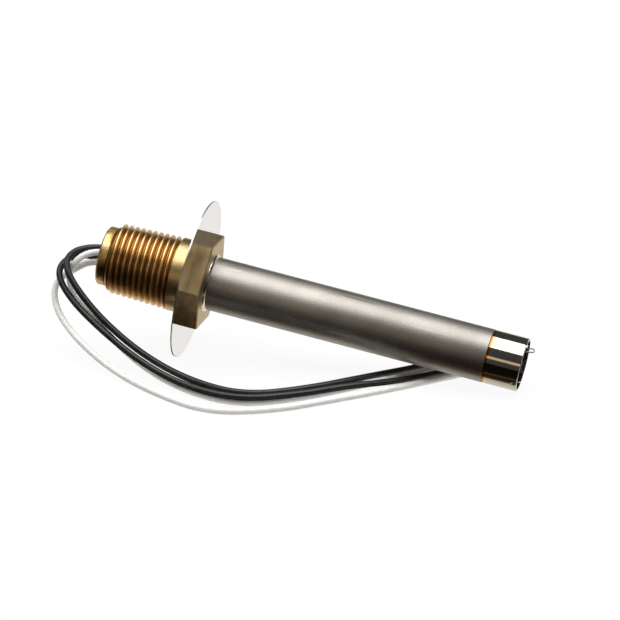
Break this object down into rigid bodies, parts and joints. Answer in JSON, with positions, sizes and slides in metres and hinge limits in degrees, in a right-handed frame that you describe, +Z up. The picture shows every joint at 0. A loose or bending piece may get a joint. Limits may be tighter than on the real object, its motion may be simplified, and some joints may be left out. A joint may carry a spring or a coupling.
{
  "type": "thermal detector probe",
  "caption": "Rod-type heat detector probe with a threaded brass coupling head, a mirror collector disc, a steel shell with a polished tip, and a loose bundle of leads.",
  "frame": {"origin": "on the surface that the probe lies on, under the middle of the outline without its leads", "axes": "+X along the probe from the leads towards the sensing tip, in plan; -Y is the side where the leads lie; +Z up"},
  "size_m": [0.1447, 0.0723, 0.0466],
  "materials": {
    "head_brass": "turned, slightly tarnished",
    "disc_steel": "mirror polished",
    "shell_steel": "bead blasted",
    "braze_silver": "bright fillet",
    "tip_steel": "polished, with heat tint at the joint",
    "screw_steel": "machined",
    "nut_steel": "machined",
    "yoke_ceramic": "unglazed",
    "ball_steel": "ground",
    "strut_alloy": "rolled strip",
    "contact_silver": "polished",
    "anchor_ceramic": "unglazed",
    "pin_steel": "ground",
    "liner_film": "thin amber film",
    "seal_resin": "cast",
    "tinned_copper": "tinned strands",
    "terminal_brass": "stamped",
    "black_insulation": "satin, finely ribbed",
    "white_insulation": "smooth, glossy",
    "seal_wire_steel": "drawn wire"
  },
  "bodies": {
    "housing": {"coupling_head": "head_brass", "collector_disc": "disc_steel", "shell_tube": "shell_steel", "braze_ring": "braze_silver", "tip_cap": "tip_steel", "lock_nut": "nut_steel", "strut_a": "strut_alloy", "strut_b": "strut_alloy", "anchor_block": "anchor_ceramic", "anchor_pins": "pin_steel", "insulating_liner": "liner_film", "lead_seal": "seal_resin", "black_conductors": "tinned_copper", "white_conductors": "tinned_copper", "black_terminal": "terminal_brass", "white_terminal": "terminal_brass", "black_lead_1": "black_insulation", "black_lead_2": "black_insulation", "white_lead_1": "white_insulation", "white_lead_2": "white_insulation", "black_stripped_end_1": "tinned_copper", "black_stripped_end_2": "tinned_copper", "white_stripped_end_1": "tinned_copper", "white_stripped_end_2": "tinned_copper", "seal_wire": "seal_wire_steel"},
    "adjuster": {"tip_yoke": "yoke_ceramic", "yoke_pins": "pin_steel", "thrust_ball": "ball_steel"},
    "screw": {"setting_screw": "screw_steel"},
    "contact_a_body": {"contact_a": "contact_silver"},
    "contact_b_body": {"contact_b": "contact_silver"}
  },
  "joints": [
    {"name": "yoke_travel", "type": "slide", "parent": "housing", "child": "adjuster", "axis": [0.9879, 0, -0.1551], "range_m": [-0.000058, 0.0000116], "deforming": ["strut_a", "strut_b"]},
    {"name": "screw_turn", "type": "hinge", "parent": "adjuster", "child": "screw", "pos_m": [0.05292, 0, 0.00931], "axis": [0.9879, 0, -0.1551], "range_deg": [-30, 6]},
    {"name": "contact_a_shift", "type": "slide", "parent": "housing", "child": "contact_a_body", "axis": [-0.1551, 0, -0.9879], "range_m": [-0.00073, 0.000146]},
    {"name": "contact_b_shift", "type": "slide", "parent": "housing", "child": "contact_b_body", "axis": [0.1551, 0, 0.9879], "range_m": [-0.00073, 0.000146]}
  ],
  "couplings": [
    {"joint": "screw_turn", "follows": "yoke_travel", "rad_per_m": 8976},
    {"joint": "contact_a_shift", "follows": "yoke_travel", "ratio": 12.273},
    {"joint": "contact_b_shift", "follows": "yoke_travel", "ratio": 12.273}
  ]
}
